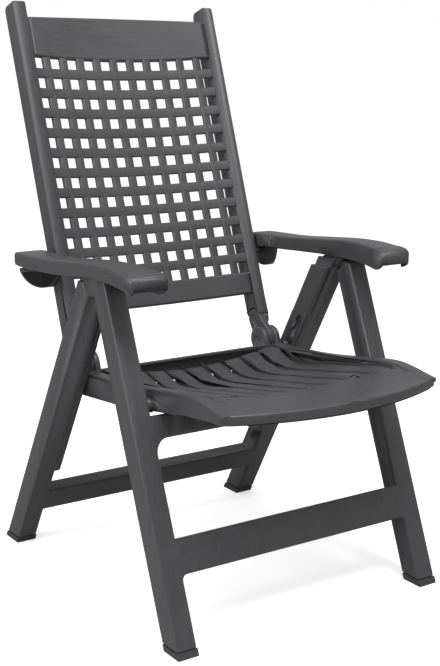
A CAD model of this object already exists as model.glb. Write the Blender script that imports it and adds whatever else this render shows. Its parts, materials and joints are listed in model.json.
"""Looks of the reclining garden armchair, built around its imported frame.

Everything is in metres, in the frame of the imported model: +Z up, the sitter faces -Y.
"""

import json
import logging
import math
from dataclasses import dataclass
from enum import Enum
from typing import Iterable, Sequence

import bmesh
import bpy
from mathutils import Matrix, Vector
from mathutils.bvhtree import BVHTree
from mathutils.kdtree import KDTree

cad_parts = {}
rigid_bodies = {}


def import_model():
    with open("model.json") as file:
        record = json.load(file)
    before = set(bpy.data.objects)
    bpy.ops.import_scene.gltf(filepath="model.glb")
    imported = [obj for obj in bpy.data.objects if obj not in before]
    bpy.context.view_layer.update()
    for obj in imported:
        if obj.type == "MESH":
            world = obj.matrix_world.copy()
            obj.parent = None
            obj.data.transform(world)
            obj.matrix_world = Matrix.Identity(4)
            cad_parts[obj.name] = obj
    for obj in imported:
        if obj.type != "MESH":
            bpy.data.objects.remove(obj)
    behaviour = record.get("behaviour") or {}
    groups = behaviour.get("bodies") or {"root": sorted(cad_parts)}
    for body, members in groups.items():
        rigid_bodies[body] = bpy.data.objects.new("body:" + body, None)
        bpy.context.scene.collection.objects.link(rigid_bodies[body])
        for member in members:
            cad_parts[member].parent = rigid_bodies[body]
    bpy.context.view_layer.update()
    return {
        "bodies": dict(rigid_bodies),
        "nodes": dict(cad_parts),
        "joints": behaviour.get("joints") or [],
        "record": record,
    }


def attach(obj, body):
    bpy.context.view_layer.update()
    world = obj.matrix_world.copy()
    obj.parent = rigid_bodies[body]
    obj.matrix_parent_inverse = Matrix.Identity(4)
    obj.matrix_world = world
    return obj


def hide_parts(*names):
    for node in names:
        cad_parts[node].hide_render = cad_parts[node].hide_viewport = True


LOG = logging.getLogger("garden_armchair")
MM = 0.001
DEPTH_CENTRE = 341.125 * MM
HUB_EYE_RADIUS_MM = 34.0
WEIGHTS = "bevel_weight_edge"


def place(x: float, y: float, z: float) -> Vector:
    """Turns millimetres from the front feet and the floor into the model's frame.

    Args:
        x: Millimetres to the sitter's left.
        y: Millimetres rearward of the front feet.
        z: Millimetres above the floor.

    Returns:
        The point in metres.
    """
    return Vector((x * MM, y * MM - DEPTH_CENTRE, z * MM))


class Pivot(Enum):
    """Axes across the chair: millimetres rearward, millimetres up and radius of the bore."""

    HUB = (300.0, 603.0, 7.6)
    ARM = (283.0, 623.0, 5.2)
    SEAT = (193.3, 395.0, 8.6)
    LOCK = (427.0, 396.0, 5.8)
    HINGE = (467.0, 405.0, 6.7)
    RECLINE = (500.7, 442.4, 6.7)

    def holds(self, point: Vector, radius_mm: float | None = None) -> bool:
        """Tells whether a point lies around the axis.

        Args:
            point: Point in the model's frame.
            radius_mm: Radius to test, or none for the bore's own.

        Returns:
            True inside the radius.
        """
        y, z, bore = self.value
        reach = bore if radius_mm is None else radius_mm
        return (point.yz - place(0, y, z).yz).length < reach * MM


class Body(Enum):
    """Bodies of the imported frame."""

    FRONT = "front_frame"
    REAR = "rear_frame"
    SEAT = "seat"
    HINGE = "back_hinge"
    BACK = "backrest"
    ARM_LEFT = "armrest_left"
    ARM_RIGHT = "armrest_right"


class Slot(Enum):
    """Material slots of the record."""

    RESIN = "resin"
    GUARD = "guard"
    PIN = "pin"
    GLIDE = "glide"


class Sock:
    """A number socket that adds Math nodes when it is used in an expression."""

    def __init__(self, graph: "Graph", socket: bpy.types.NodeSocket) -> None:
        """Wraps one output socket of a graph."""
        self.graph = graph
        self.socket = socket

    def _math(self, operation: str, *values: "Sock | float") -> "Sock":
        """Adds one Math node for the operation and returns its output."""
        node = self.graph.node("ShaderNodeMath", {"operation": operation}, dict(enumerate(values)))
        return Sock(self.graph, node.outputs[0])

    def __add__(self, other: "Sock | float") -> "Sock":
        """Sum of two values."""
        return self._math("ADD", self, other)

    __radd__ = __add__

    def __mul__(self, other: "Sock | float") -> "Sock":
        """Product of two values."""
        return self._math("MULTIPLY", self, other)

    __rmul__ = __mul__

    def __sub__(self, other: "Sock | float") -> "Sock":
        """This value less the other."""
        return self._math("SUBTRACT", self, other)

    def __rsub__(self, other: "Sock | float") -> "Sock":
        """The other value less this one."""
        return self._math("SUBTRACT", other, self)

    def __truediv__(self, other: "Sock | float") -> "Sock":
        """This value divided by the other."""
        return self._math("DIVIDE", self, other)


Scalar = Sock | float


class Graph:
    """A node tree and the one method that adds nodes to it."""

    def __init__(self, tree: bpy.types.NodeTree) -> None:
        """Wraps a node tree."""
        self.tree = tree

    def node(
        self, kind: str, settings: dict | None = None, inputs: dict | None = None
    ) -> bpy.types.Node:
        """Adds a node.

        Args:
            kind: The node's type name.
            settings: Attributes set before the sockets.
            inputs: Socket name or number to a value, a socket or a Sock.

        Returns:
            The new node.
        """
        made = self.tree.nodes.new(kind)
        for key, value in (settings or {}).items():
            if key == "stops":
                for element, (spot, colour) in zip(made.color_ramp.elements, value):
                    element.position = spot
                    element.color = colour
            else:
                setattr(made, key, value)
        for key, value in (inputs or {}).items():
            socket = made.inputs[key]
            if isinstance(value, Sock):
                value = value.socket
            if isinstance(value, bpy.types.NodeSocket):
                self.tree.links.new(value, socket)
            else:
                socket.default_value = value
        return made

    def output(
        self, kind: str, settings: dict | None = None, inputs: dict | None = None
    ) -> bpy.types.NodeSocket:
        """Adds a node as the node method does and returns its first output."""
        return self.node(kind, settings, inputs).outputs[0]


class Shader(Graph):
    """One material and the nodes that are added to it."""

    def __init__(self, name: str) -> None:
        """Makes an empty node material.

        Args:
            name: Name of the material.
        """
        self.material = bpy.data.materials.new(name)
        self.material.use_nodes = True
        super().__init__(self.material.node_tree)
        self.tree.nodes.clear()

    def noise(self, scale: Sequence[float], detail: float, rough: float = 0.5) -> Sock:
        """Fractal noise on object coordinates, about 0 to 1.

        Args:
            scale: Repeats per metre on each axis.
            detail: Octaves.
            rough: Weight of the finer octaves.

        Returns:
            The noise value.
        """
        source = self.node("ShaderNodeTexCoord").outputs["Object"]
        where = self.output("ShaderNodeMapping", {}, {"Vector": source, "Scale": tuple(scale)})
        settings = {"Vector": where, "Scale": 1.0, "Detail": detail, "Roughness": rough}
        return Sock(self, self.output("ShaderNodeTexNoise", {}, settings))

    def surface(self, shown: dict) -> bpy.types.Material:
        """Ends the material in a Principled shader.

        Args:
            shown: Socket name of the shader to a value or a link.

        Returns:
            The finished material.
        """
        body = self.output("ShaderNodeBsdfPrincipled", {}, shown)
        self.node("ShaderNodeOutputMaterial", {}, {"Surface": body})
        return self.material


class Grain(Enum):
    """Way that the faint moulded grain runs: its repeats per metre on each axis."""

    ALONG_X = (10.0, 260.0, 260.0)
    ALONG_Y = (260.0, 12.0, 260.0)
    ALONG_Z = (260.0, 120.0, 10.0)
    NONE = (160.0, 160.0, 160.0)


@dataclass(frozen=True)
class ResinFinish:
    """Matt moulded resin with a faint grain, cloudy patches and fine pores."""

    name: str
    colour: tuple[float, float, float]
    grain: Grain = Grain.NONE
    roughness: float = 0.46
    clouds_per_m: float = 9.0
    pores_per_m: float = 900.0
    cloud_share: float = 0.16
    grain_share: float = 0.3
    darkest: float = 0.62
    lightest: float = 1.42
    ramp_ends: tuple[float, float] = (0.2, 0.8)
    grain_roughness: float = 0.2
    cloud_roughness: float = 0.1
    bump_mm: float = 0.3
    bump_strength: float = 0.4
    pore_height: float = 0.3
    specular: float = 0.5

    def material(self) -> bpy.types.Material:
        """Builds the material.

        Returns:
            The finished material.
        """
        shader = Shader(self.name)
        cloud = shader.noise((self.clouds_per_m,) * 3, detail=3.0)
        streak = shader.noise(self.grain.value, detail=4.0, rough=0.6)
        pore = shader.noise((self.pores_per_m,) * 3, detail=2.0)
        patches = (cloud - 0.5) * (2 * self.cloud_share)
        tone = patches + (streak - 0.5) * (2 * self.grain_share) + 0.5
        ends = [(*(c * share for c in self.colour), 1.0) for share in (self.darkest, self.lightest)]
        stops = list(zip(self.ramp_ends, ends))
        rough = (streak - 0.5) * self.grain_roughness + (cloud - 0.5) * self.cloud_roughness
        height = streak * (1 - self.pore_height) + pore * self.pore_height
        relief = {"Strength": self.bump_strength, "Distance": self.bump_mm * MM, "Height": height}
        return shader.surface(
            {
                "Base Color": shader.output("ShaderNodeValToRGB", {"stops": stops}, {"Fac": tone}),
                "Roughness": rough + self.roughness,
                "Normal": shader.output("ShaderNodeBump", {}, relief),
                "Specular IOR Level": self.specular,
            }
        )


class Palette:
    """The finishes of the chair, by slot and by the way the grain runs."""

    def __init__(self) -> None:
        """Builds every finish once."""
        anthracite = (0.042, 0.042, 0.045)
        self.resin = {
            grain: ResinFinish(
                f"anthracite_resin_{grain.name.lower()}", anthracite, grain
            ).material()
            for grain in Grain
        }
        self.guard = ResinFinish("guard_resin", (0.02, 0.02, 0.022)).material()
        self.pin = ResinFinish(
            "pin_resin", (0.036, 0.036, 0.038), roughness=0.4, bump_mm=0.1
        ).material()
        self.glide = ResinFinish("glide_resin", (0.030, 0.030, 0.032), roughness=0.6).material()

    def pick(self, slot: Slot, grain: Grain) -> bpy.types.Material:
        """Finish of a slot.

        Args:
            slot: Material slot of the record.
            grain: Way the grain runs, used by the resin slot.

        Returns:
            The material.
        """
        return self.resin[grain] if slot is Slot.RESIN else getattr(self, slot.value)


def show(mesh: bpy.types.Mesh, name: str, body: Body, slot: Slot) -> bpy.types.Object:
    """Links a mesh as a piece that rides on a body.

    Args:
        mesh: Finished mesh with its material.
        name: Name of the piece.
        body: Body it moves with.
        slot: Material slot of the record.

    Returns:
        The new object.
    """
    made = bpy.data.objects.new(name, mesh)
    bpy.context.collection.objects.link(made)
    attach(made, body.value)
    LOG.info("%s rides on %s with %d faces", name, body.value, len(mesh.polygons))
    return made


def keep(shape: bmesh.types.BMesh, name: str, finish: bpy.types.Material) -> bpy.types.Mesh:
    """Turns an edited shape into a mesh with one material on every face, and frees it.

    Args:
        shape: Shape to keep.
        name: Name of the mesh.
        finish: Its material.

    Returns:
        The mesh.
    """
    mesh = bpy.data.meshes.new(name)
    shape.to_mesh(mesh)
    shape.free()
    mesh.materials.clear()
    mesh.materials.append(finish)
    return mesh


def skin(shape: bmesh.types.BMesh, rings: Sequence[Sequence[bmesh.types.BMVert]]) -> None:
    """Closes a run of rings with side faces and two ends.

    Args:
        shape: Mesh being edited.
        rings: Corners of each section, in the same order.
    """
    for near, far in zip(rings, rings[1:]):
        for corner in range(len(near)):
            following = (corner + 1) % len(near)
            shape.faces.new((near[corner], near[following], far[following], far[corner]))
    shape.faces.new(rings[0])
    shape.faces.new(rings[-1][::-1])


def cap(shape: bmesh.types.BMesh) -> None:
    """Closes every open rim of a shape."""
    rim = [edge for edge in shape.edges if edge.is_boundary]
    bmesh.ops.holes_fill(shape, edges=rim, sides=0)


def span_of(share: float, places: Sequence[float]) -> tuple[int, float]:
    """Finds where a share lies among ascending places.

    Args:
        share: Share to find.
        places: Ascending shares.

    Returns:
        Number of the place after the share, and how far the share is into that span.
    """
    after = next(i for i in range(1, len(places)) if share <= places[i])
    return after, (share - places[after - 1]) / (places[after] - places[after - 1])


@dataclass(frozen=True)
class EdgeRounding:
    """Round edges for a sharp mesh, held back where a face beside the edge is narrow."""

    radius_mm: float
    segments: int = 3
    sharp_deg: float = 32.0
    narrow_share: float = 0.42
    across_share: float = 0.5
    pointed_deg: float = 55.0
    pointed_share: float = 0.15
    stray_share: float = 0.6
    reach_share: float = 1.6
    passes: int = 4

    def room(self, edge: bmesh.types.BMEdge) -> float:
        """Narrowest way across the faces beside an edge.

        Args:
            edge: Sharp edge between two faces.

        Returns:
            Metres.
        """
        start = edge.verts[0].co
        along = (edge.verts[1].co - start).normalized()
        widths = []
        for face in edge.link_faces:
            reach = [v.co - start for v in face.verts]
            widths.append(max((r - along * r.dot(along)).length for r in reach))
            for side in face.edges:
                if side is edge or not set(side.verts) & set(edge.verts):
                    continue
                run = side.verts[1].co - side.verts[0].co
                across = (run - along * run.dot(along)).length
                turned = len(side.link_faces) == 2 and side.calc_face_angle_signed(0.0)
                steep = turned > math.radians(self.sharp_deg) / 2
                if across > self.across_share * run.length and steep:
                    widths.append(across)
        return min(widths)

    def bare(self, edge: bmesh.types.BMEdge) -> bool:
        """Tells whether an edge stays sharp because it is at the hub's eye or a bore."""
        middle = (edge.verts[0].co + edge.verts[1].co) / 2
        return Pivot.HUB.holds(middle, HUB_EYE_RADIUS_MM) or any(p.holds(middle) for p in Pivot)

    def weigh(self, shape: bmesh.types.BMesh) -> None:
        """Writes how much of the radius each sharp outer edge can carry.

        Args:
            shape: Mesh being edited.
        """
        layer = shape.edges.layers.float.new(WEIGHTS)
        sharp = math.radians(self.sharp_deg)
        for edge in shape.edges:
            if len(edge.link_faces) == 2 and edge.calc_face_angle_signed(0.0) > sharp:
                share = self.room(edge) * self.narrow_share / (self.radius_mm * MM)
                edge[layer] = 0.0 if self.bare(edge) else min(1.0, share)
        for corner in shape.verts:
            ways = [e for e in corner.link_edges if e[layer] > 0]
            for spot, first in enumerate(ways):
                for second in ways[spot + 1 :]:
                    toward = [e.other_vert(corner).co - corner.co for e in (first, second)]
                    if toward[0].angle(toward[1]) < math.radians(self.pointed_deg):
                        first[layer] = min(first[layer], self.pointed_share)
                        second[layer] = min(second[layer], self.pointed_share)

    def mark(self, shape: bmesh.types.BMesh, edges: Iterable[bmesh.types.BMEdge]) -> None:
        """Gives edges the whole radius.

        Args:
            shape: Mesh being edited.
            edges: Edges to round, looked up after the weights exist.
        """
        layer = shape.edges.layers.float.new(WEIGHTS)
        for edge in edges:
            edge[layer] = 1.0

    def soften(self, made: bpy.types.Object) -> None:
        """Adds the rounding to an object whose mesh was weighed.

        Args:
            made: Object that shows the mesh.
        """
        made.data.shade_smooth()
        bevel = made.modifiers.new("round_edges", "BEVEL")
        bevel.limit_method = "WEIGHT"
        bevel.width = self.radius_mm * MM
        bevel.segments = self.segments
        bevel.use_clamp_overlap = False
        bevel.harden_normals = True
        for _ in range(self.passes):
            if not self.prune(made):
                break

    def prune(self, made: bpy.types.Object) -> int:
        """Leaves edges sharp where the rounding would stand away from the surface.

        Args:
            made: Object with the rounding.

        Returns:
            How many corners lost their rounding.
        """
        rough = bmesh.new()
        rough.from_mesh(made.data)
        surface = BVHTree.FromBMesh(rough)
        corners = KDTree(len(rough.verts))
        for vert in rough.verts:
            corners.insert(vert.co, vert.index)
        corners.balance()
        graph = bpy.context.evaluated_depsgraph_get()
        graph.update()
        smooth = bmesh.new()
        smooth.from_object(made, graph)
        far = self.radius_mm * MM * self.stray_share
        reach = self.reach_share * self.radius_mm * MM
        culprits = set()
        for vert in smooth.verts:
            if surface.find_nearest(vert.co)[3] > far:
                for edge in vert.link_edges:
                    near = corners.find_range(edge.other_vert(vert).co, reach)
                    culprits.update(index for _, index, _ in near)
        weights = made.data.attributes[WEIGHTS].data
        cleared = set()
        for edge in made.data.edges:
            hit = culprits & set(edge.vertices)
            if hit and weights[edge.index].value > 0:
                weights[edge.index].value = 0.0
                cleared |= hit
        rough.free()
        smooth.free()
        made.data.update()
        return len(cleared)


@dataclass(frozen=True)
class Moulding:
    """A CAD node shown through a copy with merged points and rounded edges."""

    node: str
    body: Body
    grain: Grain
    rounding: EdgeRounding
    slot: Slot = Slot.RESIN
    keep_outside_mm: float = 0.0
    plugs: tuple[Pivot, ...] = ()
    merge_mm: float = 0.02
    margin_mm: float = 0.1
    flat_deg: float = 0.8

    def plug(self, shape: bmesh.types.BMesh) -> None:
        """Closes the bores of the listed pivots.

        Args:
            shape: Mesh being edited.
        """
        inside = {v for v in shape.verts if any(pivot.holds(v.co) for pivot in self.plugs)}
        walls = [face for face in shape.faces if set(face.verts) <= inside]
        bmesh.ops.delete(shape, geom=walls, context="FACES")
        cap(shape)

    def trim(self, shape: bmesh.types.BMesh) -> None:
        """Cuts away what lies inside the kept half width and closes the cuts.

        Args:
            shape: Mesh being edited.
        """
        limit = (self.keep_outside_mm - self.margin_mm) * MM
        inner = [v for v in shape.verts if abs(v.co.x) < limit]
        bmesh.ops.delete(shape, geom=inner, context="VERTS")
        cap(shape)

    def build(self, frame: dict, palette: Palette) -> None:
        """Copies the node, closes and trims it where asked, and rounds it.

        Args:
            frame: The loaded frame.
            palette: The finishes.
        """
        shape = bmesh.new()
        shape.from_mesh(frame["nodes"][self.node].data)
        bmesh.ops.remove_doubles(shape, verts=shape.verts[:], dist=self.merge_mm * MM)
        if self.plugs:
            self.plug(shape)
        if self.keep_outside_mm:
            self.trim(shape)
        flat = math.radians(self.flat_deg)
        bmesh.ops.dissolve_limit(
            shape, angle_limit=flat, verts=shape.verts[:], edges=shape.edges[:]
        )
        bmesh.ops.recalc_face_normals(shape, faces=shape.faces[:])
        self.rounding.weigh(shape)
        name = self.node + "_moulding"
        mesh = keep(shape, name, palette.pick(self.slot, self.grain))
        made = show(mesh, name, self.body, self.slot)
        self.rounding.soften(made)
        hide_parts(self.node)


@dataclass(frozen=True)
class BackCurve:
    """Slope and doubly curved surface of the backrest, in millimetres up its slope."""

    lean_deg: float = 20.4
    origin_y_mm: float = 473.7
    origin_z_mm: float = 430.0
    half_width_mm: float = 212.0
    edge_depth_mm: float = 6.0
    bow_mm: float = 16.0
    belly_mm: float = 6.0
    middle_up_mm: float = 345.0
    half_height_mm: float = 250.0

    def stand(self) -> Matrix:
        """Turns a flat layout (x, up, towards the sitter) in metres into the model's frame."""
        turn = Matrix.Rotation(math.radians(90 - self.lean_deg), 4, "X")
        return Matrix.Translation(place(0, self.origin_y_mm, self.origin_z_mm)) @ turn


class BentBars(Graph):
    """Geometry nodes that lay out straight bars, bend them onto the back and skin them."""

    points_each: int = 33
    corner_steps: int = 3

    def __init__(self, name: str, values: dict[str, object]) -> None:
        """Makes a node group with one named input for each value.

        Args:
            name: Name of the node group.
            values: Input name to the value that it will take.
        """
        super().__init__(bpy.data.node_groups.new(name, "GeometryNodeTree"))
        sockets = self.tree.interface
        sockets.new_socket("Geometry", in_out="OUTPUT", socket_type="NodeSocketGeometry")
        kinds = {int: "NodeSocketInt", float: "NodeSocketFloat"}
        for label, value in values.items():
            kind = kinds.get(type(value), "NodeSocketMaterial")
            sockets.new_socket(label, in_out="INPUT", socket_type=kind)
        given = self.node("NodeGroupInput").outputs
        self.size = {label: Sock(self, given[label]) for label in values}

    def point(self, x: Scalar, y: Scalar, z: Scalar = 0.0) -> bpy.types.NodeSocket:
        """Vector socket from three values."""
        return self.output("ShaderNodeCombineXYZ", {}, {0: x, 1: y, 2: z})

    def bars(
        self,
        ends: Sequence[bpy.types.NodeSocket],
        first: bpy.types.NodeSocket,
        step: bpy.types.NodeSocket,
        count: Sock,
    ) -> bpy.types.NodeSocket:
        """Lays out evenly spaced straight curves with enough points to bend.

        Args:
            ends: Start and end of the first curve, before it is moved to its spot.
            first: Spot of the first curve.
            step: Way from one curve to the next.
            count: How many curves.

        Returns:
            The curves.
        """
        line = self.output(
            "GeometryNodeCurvePrimitiveLine", {}, {"Start": ends[0], "End": ends[1]}
        )
        fine = self.output(
            "GeometryNodeResampleCurve", {}, {"Curve": line, "Count": self.points_each}
        )
        spots = self.output(
            "GeometryNodeMeshLine", {}, {"Count": count, "Start Location": first, "Offset": step}
        )
        copies = self.output(
            "GeometryNodeInstanceOnPoints", {}, {"Points": spots, "Instance": fine}
        )
        return self.output("GeometryNodeRealizeInstances", {}, {0: copies})

    def bend(
        self, curves: bpy.types.NodeSocket, width: Sock, sunk_mm: float
    ) -> bpy.types.NodeSocket:
        """Bends curves onto the back's surface and gives them a rounded section.

        Args:
            curves: Straight curves.
            width: Width of a bar.
            sunk_mm: How far the bars lie behind the surface.

        Returns:
            The bars.
        """
        size = self.size
        here = self.output("GeometryNodeInputPosition")
        parts = self.node("ShaderNodeSeparateXYZ", {}, {0: here}).outputs
        across, up = Sock(self, parts[0]), Sock(self, parts[1])
        share = across / size["Half width"]
        lift = (up - size["Middle"]) / size["Half height"]
        bow = size["Bow"] + size["Belly"] * (1.0 - lift * lift)
        depth = size["Edge depth"] + bow * (1.0 - share * share)
        depth = depth + size["Thickness"] * 0.5 + sunk_mm * MM
        bent = self.output(
            "GeometryNodeSetPosition",
            {},
            {"Geometry": curves, "Position": self.point(across, up, depth * -1.0)},
        )
        upright = self.output("GeometryNodeSetCurveNormal", {"mode": "Z_UP"}, {"Curve": bent})
        section = self.output(
            "GeometryNodeCurvePrimitiveQuadrilateral",
            {},
            {"Width": width, "Height": size["Thickness"]},
        )
        rounded = self.output(
            "GeometryNodeFilletCurve",
            {"mode": "POLY"},
            {"Curve": section, "Radius": size["Corner"], "Count": self.corner_steps},
        )
        return self.output(
            "GeometryNodeCurveToMesh",
            {},
            {"Curve": upright, "Profile Curve": rounded, "Fill Caps": True},
        )


@dataclass(frozen=True)
class Lattice:
    """Pierced panel of the backrest: a rule bends rows and columns of rounded bars."""

    curve: BackCurve
    columns: int = 10
    column_pitch_mm: float = 40.2
    column_bar_mm: float = 18.6
    column_sunk_mm: float = 0.4
    rows: int = 11
    row_pitch_mm: float = 40.85
    row_top_mm: float = 592.5
    row_bar_mm: float = 20.6
    opening_mm: float = 20.5
    low_end_mm: float = 112.0
    high_end_mm: float = 600.0
    thickness_mm: float = 7.0
    corner_mm: float = 2.6

    def values(self, finish: bpy.types.Material) -> dict[str, object]:
        """Names the rule's inputs and their values.

        Args:
            finish: Material of the bars.

        Returns:
            Input name to counts, metres and the material.
        """
        curve = self.curve
        bar_mm = self.row_pitch_mm - self.opening_mm
        lengths_mm = {
            "Column pitch": self.column_pitch_mm,
            "Row pitch": self.row_pitch_mm,
            "First row": self.row_top_mm - self.opening_mm - bar_mm / 2,
            "Half width": curve.half_width_mm,
            "Low end": self.low_end_mm,
            "High end": self.high_end_mm,
            "Column bar": self.column_bar_mm,
            "Row bar": self.row_bar_mm,
            "Thickness": self.thickness_mm,
            "Corner": self.corner_mm,
            "Edge depth": curve.edge_depth_mm,
            "Bow": curve.bow_mm,
            "Belly": curve.belly_mm,
            "Middle": curve.middle_up_mm,
            "Half height": curve.half_height_mm,
        }
        metres = {label: length * MM for label, length in lengths_mm.items()}
        return {"Columns": self.columns, "Rows": self.rows, **metres, "Finish": finish}

    def rule(self, values: dict[str, object]) -> bpy.types.NodeTree:
        """Builds the node group that lays out, bends and skins the bars.

        Args:
            values: Input name to the value that it will take.

        Returns:
            The node group.
        """
        graph = BentBars("lattice_rule", values)
        size, point = graph.size, graph.point
        uprights = graph.bars(
            (point(0.0, size["Low end"]), point(0.0, size["High end"])),
            point(size["Column pitch"] * (size["Columns"] - 1.0) * -0.5, 0.0),
            point(size["Column pitch"], 0.0),
            size["Columns"],
        )
        crossings = graph.bars(
            (point(size["Half width"] * -1.0, 0.0), point(size["Half width"], 0.0)),
            point(0.0, size["First row"]),
            point(0.0, size["Row pitch"] * -1.0),
            size["Rows"],
        )
        joined = graph.node("GeometryNodeJoinGeometry")
        columns = graph.bend(uprights, size["Column bar"], self.column_sunk_mm)
        graph.tree.links.new(columns, joined.inputs[0])
        rows = graph.bend(crossings, size["Row bar"], 0.0)
        graph.tree.links.new(rows, joined.inputs[0])
        stand = self.curve.stand()
        stood = graph.output(
            "GeometryNodeTransform",
            {},
            {
                "Geometry": joined.outputs[0],
                "Translation": tuple(stand.translation),
                "Rotation": tuple(stand.to_euler()),
            },
        )
        real = graph.output("GeometryNodeRealizeInstances", {}, {0: stood})
        dressed = graph.output(
            "GeometryNodeSetMaterial", {}, {"Geometry": real, "Material": size["Finish"]}
        )
        graph.node("NodeGroupOutput", {}, {0: dressed})
        return graph.tree

    def build(self, finish: bpy.types.Material) -> None:
        """Runs the rule once and shows its result as a plain mesh.

        Args:
            finish: Material of the bars.
        """
        values = self.values(finish)
        carrier = bpy.data.objects.new("lattice_carrier", bpy.data.meshes.new("lattice_seed"))
        bpy.context.collection.objects.link(carrier)
        modifier = carrier.modifiers.new("lattice_rule", "NODES")
        modifier.node_group = self.rule(values)
        for item in modifier.node_group.interface.items_tree:
            if item.in_out == "INPUT":
                modifier[item.identifier] = values[item.name]
        graph = bpy.context.evaluated_depsgraph_get()
        graph.update()
        mesh = bpy.data.meshes.new_from_object(carrier.evaluated_get(graph))
        bpy.data.objects.remove(carrier)
        mesh.name = "lattice"
        mesh.shade_smooth()
        show(mesh, "lattice", Body.BACK, Slot.RESIN)


@dataclass(frozen=True)
class BowedRail:
    """Rail across the backrest that follows its bow, with curved upper and lower edges."""

    name: str
    curve: BackCurve
    start_mm: float
    end_mm: float
    arch_mm: float = 0.0
    sag_mm: float = 0.0
    edge_depth_mm: float = 3.0
    thickness_mm: float = 15.0
    bow_mm: float = 19.0
    half_width_mm: float = 212.4
    stations: int = 40
    rounding: EdgeRounding = EdgeRounding(5.0, 4)

    def ring(self, share: float) -> list[Vector]:
        """Corners of the section at one place along the rail.

        Args:
            share: Place from -1 at one stile to 1 at the other.

        Returns:
            Four corners in metres.
        """
        bulge = 1 - share**2
        low = self.start_mm - self.sag_mm * bulge
        high = self.end_mm + self.arch_mm * bulge
        front = self.edge_depth_mm + self.bow_mm * bulge
        rear = front + self.thickness_mm
        x = share * self.half_width_mm
        corners = ((low, front), (high, front), (high, rear), (low, rear))
        stand = self.curve.stand()
        return [stand @ Vector((x * MM, up * MM, -depth * MM)) for up, depth in corners]

    def build(self, palette: Palette) -> None:
        """Sweeps the section along the bow and rounds its long edges.

        Args:
            palette: The finishes.
        """
        shape = bmesh.new()
        rings = []
        for step in range(self.stations + 1):
            corners = self.ring(2 * step / self.stations - 1)
            rings.append([shape.verts.new(corner) for corner in corners])
        skin(shape, rings)
        bmesh.ops.recalc_face_normals(shape, faces=shape.faces[:])
        long_edges = (
            shape.edges.get(ends) for near, far in zip(rings, rings[1:]) for ends in zip(near, far)
        )
        self.rounding.mark(shape, long_edges)
        mesh = keep(shape, self.name, palette.resin[Grain.ALONG_X])
        self.rounding.soften(show(mesh, self.name, Body.BACK, Slot.RESIN))


@dataclass(frozen=True)
class Backrest:
    """Stiles, rails and lattice."""

    curve: BackCurve = BackCurve()
    stile_rounding: EdgeRounding = EdgeRounding(5.0, 4)
    top_rail_mm: tuple[float, float] = (595.3, 676.4)
    top_arch_mm: float = 8.0
    top_sag_mm: float = 3.0
    low_rail_mm: tuple[float, float] = (74.0, 122.0)

    def build(self, frame: dict, palette: Palette) -> None:
        """Builds the backrest's pieces.

        Args:
            frame: The loaded frame.
            palette: The finishes.
        """
        Moulding(
            "backrest",
            Body.BACK,
            Grain.ALONG_Z,
            self.stile_rounding,
            keep_outside_mm=self.curve.half_width_mm,
        ).build(frame, palette)
        arch, sag = self.top_arch_mm, self.top_sag_mm
        BowedRail("top_rail", self.curve, *self.top_rail_mm, arch, sag).build(palette)
        BowedRail("low_rail", self.curve, *self.low_rail_mm).build(palette)
        Lattice(self.curve).build(palette.resin[Grain.ALONG_Z])


@dataclass(frozen=True)
class SeatPlan:
    """Where the seat's shares are measured from, in millimetres."""

    nose_y_mm: float = -74.0
    length_mm: float = 524.0
    height_mm: float = 439.5

    def share(self, y: float) -> float:
        """Share of the seat's length at a depth in millimetres behind the front feet."""
        return (y - self.nose_y_mm) / self.length_mm


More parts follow.
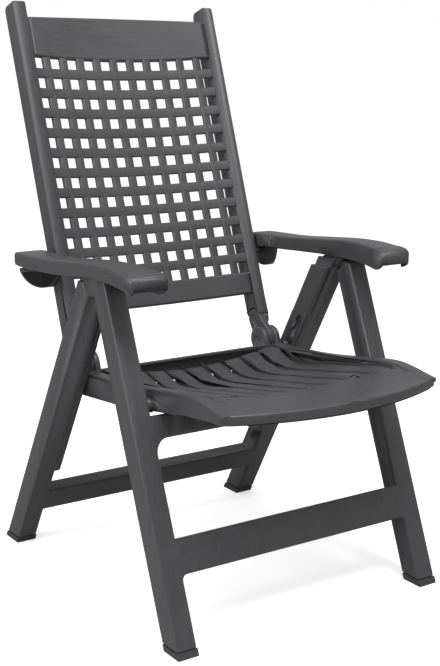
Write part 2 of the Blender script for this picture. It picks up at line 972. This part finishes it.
@dataclass(frozen=True)
class SlatWebs:
    """Thin webs that hang under both edges of every slot of the seat."""

    plan: SeatPlan = SeatPlan()
    slots: int = 10
    pitch_mm: float = 45.89
    slot_width_mm: float = 12.0
    thickness_mm: float = 3.5
    inset_mm: float = 1.2
    sunk_mm: float = 3.0
    drop_mm: float = 20.0
    half_width_mm: float = 214.0
    stations: int = 26
    rear_y_mm: float = 430.0
    front_middle_y_mm: float = 86.0
    front_side_y_mm: float = 59.0
    along: tuple[float, ...] = (-0.011, 0.094, 0.179, 0.267, 0.351, 0.51, 0.656, 0.811, 0.973)
    edge: tuple[float, ...] = (0.981, 0.978, 0.99, 0.995, 0.98, 0.939, 0.904, 0.882, 0.874)
    middle: tuple[float, ...] = (0.978, 0.972, 0.96, 0.947, 0.929, 0.894, 0.863, 0.843, 0.837)

    def height(self, x: float, y: float) -> float:
        """Height of the dished surface.

        Args:
            x: Millimetres from the middle.
            y: Millimetres rearward of the front feet.

        Returns:
            Millimetres above the floor.
        """
        after, part = span_of(self.plan.share(y), self.along)
        edge, middle = (
            row[after - 1] + (row[after] - row[after - 1]) * part
            for row in (self.edge, self.middle)
        )
        return self.plan.height_mm * (middle + (edge - middle) * (x / self.half_width_mm) ** 2)

    def web(self, shape: bmesh.types.BMesh, near: float, far: float, front: float) -> None:
        """Adds one web to a shape.

        Args:
            shape: Mesh being edited.
            near: Side at the slot, in millimetres from the middle.
            far: Side away from the slot, in millimetres from the middle.
            front: Front end, in millimetres rearward of the front feet.
        """
        rings = []
        for step in range(self.stations + 1):
            y = front + (self.rear_y_mm - front) * step / self.stations
            top = self.height(near, y) - self.sunk_mm
            low = top - self.drop_mm
            spots = ((near, top), (far, top), (far, low), (near, low))
            rings.append([shape.verts.new(place(x, y, z)) for x, z in spots])
        skin(shape, rings)

    def build(self, palette: Palette) -> None:
        """Builds the webs as one mesh.

        Args:
            palette: The finishes.
        """
        shape = bmesh.new()
        half_count = (self.slots - 1) / 2
        for slot in range(self.slots):
            middle = (slot - half_count) * self.pitch_mm
            share = (middle / (half_count * self.pitch_mm)) ** 2
            front = self.front_middle_y_mm + share * (self.front_side_y_mm - self.front_middle_y_mm)
            for side in (-1, 1):
                near = middle + side * (self.slot_width_mm / 2 - self.inset_mm)
                far = near + side * self.thickness_mm
                self.web(shape, near, far, front)
        bmesh.ops.recalc_face_normals(shape, faces=shape.faces[:])
        mesh = keep(shape, "slat_webs", palette.resin[Grain.ALONG_Y])
        show(mesh, "slat_webs", Body.SEAT, Slot.RESIN)


@dataclass(frozen=True)
class SideRails:
    """Raised strips over the sides of the seat."""

    plan: SeatPlan = SeatPlan()
    rounding: EdgeRounding = EdgeRounding(2.5)
    rounded_deg: float = 40.0
    inner_mm: float = 215.0
    outer_mm: float = 240.2
    proud_mm: float = 1.2
    depth_mm: float = 9.0
    front_y_mm: float = -27.5
    rear_y_mm: float = 446.0
    stations: int = 44
    drop_mm: float = 88.3
    along: tuple[float, ...] = (
        0.0, 0.095, 0.135, 0.195, 0.267, 0.351, 0.437, 0.532, 0.628, 0.727, 0.781, 0.866, 0.958, 1.0
    )
    down: tuple[float, ...] = (
        0.14, 0.119, 0.09, 0.035, 0.0, 0.045, 0.124, 0.219, 0.304, 0.373, 0.398, 0.428, 0.463, 0.478
    )

    def slope(self, first: int, last: int) -> float:
        """Drop per share between two known places."""
        return (self.down[last] - self.down[first]) / (self.along[last] - self.along[first])

    def top(self, y: float) -> float:
        """Height of the side rail, smooth between its known places.

        Args:
            y: Millimetres rearward of the front feet.

        Returns:
            Millimetres above the floor.
        """
        high, part = span_of(self.plan.share(y), self.along)
        low = high - 1
        width = self.along[high] - self.along[low]
        into = self.slope(max(low - 1, 0), high)
        away = self.slope(low, min(high + 1, len(self.along) - 1))
        drop = (
            (2 * part**3 - 3 * part**2 + 1) * self.down[low]
            + (part**3 - 2 * part**2 + part) * width * into
            + (3 * part**2 - 2 * part**3) * self.down[high]
            + (part**3 - part**2) * width * away
        )
        return self.plan.height_mm - self.drop_mm * drop

    def build(self, palette: Palette) -> None:
        """Builds both strips as one mesh with rounded edges.

        Args:
            palette: The finishes.
        """
        shape = bmesh.new()
        inner, outer = self.inner_mm, self.outer_mm
        for side in (-1, 1):
            rings = []
            for step in range(self.stations + 1):
                y = self.front_y_mm + (self.rear_y_mm - self.front_y_mm) * step / self.stations
                top = self.top(y) + self.proud_mm
                low = top - self.depth_mm
                spots = ((inner, top), (outer, top), (outer, low), (inner, low))
                rings.append([shape.verts.new(place(side * x, y, z)) for x, z in spots])
            skin(shape, rings)
        bmesh.ops.recalc_face_normals(shape, faces=shape.faces[:])
        rounded = math.radians(self.rounded_deg)
        outer_edges = (e for e in shape.edges if e.calc_face_angle_signed(0.0) > rounded)
        self.rounding.mark(shape, outer_edges)
        mesh = keep(shape, "side_rails", palette.resin[Grain.ALONG_Y])
        self.rounding.soften(show(mesh, "side_rails", Body.SEAT, Slot.RESIN))


@dataclass(frozen=True)
class LegChannels:
    """Raised inner guides of the rear legs above their stepped pockets, up to the hub."""

    rounding: EdgeRounding = EdgeRounding(2.0)
    face_mm: float = 248.2
    root_mm: float = 257.0
    low_z_mm: float = 467.0
    high_z_mm: float = 580.0
    foot_y_mm: float = 612.6
    lean_deg: float = 27.8
    front_mm: float = 0.3
    rear_mm: float = 51.8

    def build(self, palette: Palette) -> None:
        """Builds both guides as one mesh with rounded edges.

        Args:
            palette: The finishes.
        """
        slope = math.tan(math.radians(self.lean_deg))
        low, high = self.low_z_mm, self.high_z_mm
        front, rear = self.front_mm, self.rear_mm
        spots = ((front, low), (rear, low), (rear, high), (front, high))
        corners = [(self.foot_y_mm - slope * z + behind, z) for behind, z in spots]
        shape = bmesh.new()
        for side in (-1, 1):
            rings = [
                [shape.verts.new(place(side * x, y, z)) for y, z in corners]
                for x in (self.face_mm, self.root_mm)
            ]
            skin(shape, rings)
        bmesh.ops.recalc_face_normals(shape, faces=shape.faces[:])
        self.rounding.mark(shape, shape.edges)
        mesh = keep(shape, "leg_channels", palette.resin[Grain.ALONG_Z])
        self.rounding.soften(show(mesh, "leg_channels", Body.REAR, Slot.RESIN))


@dataclass(frozen=True)
class Mouldings:
    """Leg frames, seat, armrests, guards and links: CAD forms with rounded edges."""

    legs: EdgeRounding = EdgeRounding(5.0, 4)
    seat: EdgeRounding = EdgeRounding(4.0, 4)
    arms: EdgeRounding = EdgeRounding(5.0, 4)
    guards: EdgeRounding = EdgeRounding(1.2, 2)
    links: EdgeRounding = EdgeRounding(2.0)

    def pieces(self) -> list[Moulding]:
        """Lists the nodes that are shown through a softened copy.

        Returns:
            The mouldings in the order they are built.
        """
        bored = (Pivot.HUB, Pivot.ARM, Pivot.SEAT)
        along = Grain.ALONG_Z
        found = [
            Moulding("front_leg_frame", Body.FRONT, along, self.legs, plugs=bored),
            Moulding("rear_leg_frame", Body.REAR, along, self.legs, plugs=(Pivot.HUB,)),
            Moulding("seat", Body.SEAT, Grain.ALONG_Y, self.seat),
        ]
        for side, body in (("left", Body.ARM_LEFT), ("right", Body.ARM_RIGHT)):
            found += [
                Moulding("armrest_" + side, body, Grain.ALONG_Y, self.arms),
                Moulding("arm_guard_" + side, body, Grain.NONE, self.guards, Slot.GUARD),
                Moulding("back_link_" + side, Body.HINGE, Grain.NONE, self.links),
            ]
        return found

    def build(self, frame: dict, palette: Palette) -> None:
        """Builds each moulding and gives the pins and foot caps their finish.

        Args:
            frame: The loaded frame.
            palette: The finishes.
        """
        for piece in self.pieces():
            piece.build(frame, palette)
        for name, node in frame["nodes"].items():
            node.data.materials.clear()
            slot = Slot.GLIDE if "glide" in name else Slot.PIN
            node.data.materials.append(palette.pick(slot, Grain.NONE))


@dataclass(frozen=True)
class Lamp:
    """One soft square lamp, in metres and watts."""

    name: str
    spot: tuple[float, float, float]
    target: tuple[float, float, float]
    size: float
    energy: float

    def build(self) -> None:
        """Hangs the lamp at its spot and points it at its target."""
        data = bpy.data.lights.new(self.name, "AREA")
        data.energy = self.energy
        data.size = self.size
        lamp = bpy.data.objects.new(self.name, data)
        lamp.location = self.spot
        ahead = Vector(self.target) - Vector(self.spot)
        lamp.rotation_euler = ahead.to_track_quat("-Z", "Y").to_euler()
        bpy.context.collection.objects.link(lamp)


@dataclass(frozen=True)
class Studio:
    """Floor, soft lamps, surround and the camera at the photograph's place."""

    camera_mm: tuple[float, float, float] = (-1370.5, -1619.5, 1022.8)
    yaw_deg: float = 35.183
    pitch_deg: float = 13.075
    roll_deg: float = 1.2
    focal_px: float = 1258.117
    image_height_px: float = 666.0
    sensor_mm: float = 24.0
    view_distance: float = 200.0
    floor_size: float = 60.0
    floor_tone: float = 0.5
    floor_glow: float = 0.44
    sky_strength: float = 0.6
    lamps: tuple[Lamp, ...] = (
        Lamp("side_lamp", (-2.4, -0.4, 1.9), (0, 0, 0.5), size=1.6, energy=44.0),
        Lamp("top_lamp", (-0.2, -1.1, 2.7), (0, 0, 0.8), size=1.4, energy=44.0 * 1.35),
    )

    def camera(self) -> None:
        """Creates the camera and makes it the scene's."""
        yaw, pitch = math.radians(self.yaw_deg), math.radians(self.pitch_deg)
        roll = math.radians(self.roll_deg)
        ahead = Vector(
            (math.sin(yaw) * math.cos(pitch), math.cos(yaw) * math.cos(pitch), -math.sin(pitch))
        )
        right = ahead.cross(Vector((0, 0, 1))).normalized()
        up = right.cross(ahead)
        turned_right = math.cos(roll) * right + math.sin(roll) * up
        turned_up = math.cos(roll) * up - math.sin(roll) * right
        data = bpy.data.cameras.new("photo_camera")
        data.sensor_fit = "VERTICAL"
        data.sensor_height = self.sensor_mm
        data.lens = self.focal_px * self.sensor_mm / self.image_height_px
        data.clip_end = self.view_distance
        camera = bpy.data.objects.new("photo_camera", data)
        turn = Matrix((turned_right, turned_up, -ahead)).transposed().to_4x4()
        camera.matrix_world = Matrix.Translation(place(*self.camera_mm)) @ turn
        bpy.context.collection.objects.link(camera)
        bpy.context.scene.camera = camera

    def ground(self) -> None:
        """Builds the floor: white and glowing a little to the camera, plain grey to all else."""
        shader = Shader("pale_floor")
        seen = shader.node("ShaderNodeLightPath").outputs["Is Camera Ray"]

        def by_ray(other: float, camera: float) -> bpy.types.NodeSocket:
            """Grey that is one tone to the camera and another to every other ray."""
            # The colour sockets of the Mix node are inputs 6 and 7 and output 2.
            tones = {"Factor": seen, 6: (other, other, other, 1.0), 7: (camera, camera, camera, 1.0)}
            return shader.node("ShaderNodeMix", {"data_type": "RGBA"}, tones).outputs[2]

        finish = shader.surface(
            {
                "Base Color": by_ray(self.floor_tone, 1.0),
                "Roughness": 1.0,
                "Specular IOR Level": 0.0,
                "Emission Color": by_ray(0.0, self.floor_glow),
                "Emission Strength": 1.0,
            }
        )
        mesh = bpy.data.meshes.new("studio_floor")
        half = self.floor_size / 2
        corners = [(-half, -half, 0), (half, -half, 0), (half, half, 0), (-half, half, 0)]
        mesh.from_pydata(corners, [], [(0, 1, 2, 3)])
        mesh.materials.append(finish)
        floor = bpy.data.objects.new("studio_floor", mesh)
        bpy.context.collection.objects.link(floor)

    def sky(self) -> None:
        """Builds the surround: full white to the camera, softer as a light."""
        world = bpy.data.worlds.new("studio_sky")
        bpy.context.scene.world = world
        world.use_nodes = True
        world.node_tree.nodes.clear()
        graph = Graph(world.node_tree)
        seen = graph.node("ShaderNodeLightPath").outputs["Is Camera Ray"]
        light, shown = (
            graph.output(
                "ShaderNodeBackground", {}, {"Color": (1.0, 1.0, 1.0, 1.0), "Strength": strength}
            )
            for strength in (self.sky_strength, 1.0)
        )
        mix = graph.output("ShaderNodeMixShader", {}, {0: seen, 1: light, 2: shown})
        graph.node("ShaderNodeOutputWorld", {}, {"Surface": mix})

    def build(self) -> None:
        """Builds the camera, the floor, the surround and the lamps."""
        bpy.context.scene.view_settings.view_transform = "Standard"
        self.camera()
        self.ground()
        self.sky()
        for lamp in self.lamps:
            lamp.build()


def main() -> None:
    """Builds the whole scene in order."""
    logging.basicConfig(level=logging.INFO, format="%(name)s: %(message)s")
    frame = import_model()
    Studio().build()
    palette = Palette()
    Mouldings().build(frame, palette)
    SlatWebs().build(palette)
    SideRails().build(palette)
    LegChannels().build(palette)
    Backrest().build(frame, palette)


if __name__ == "__main__":
    main()
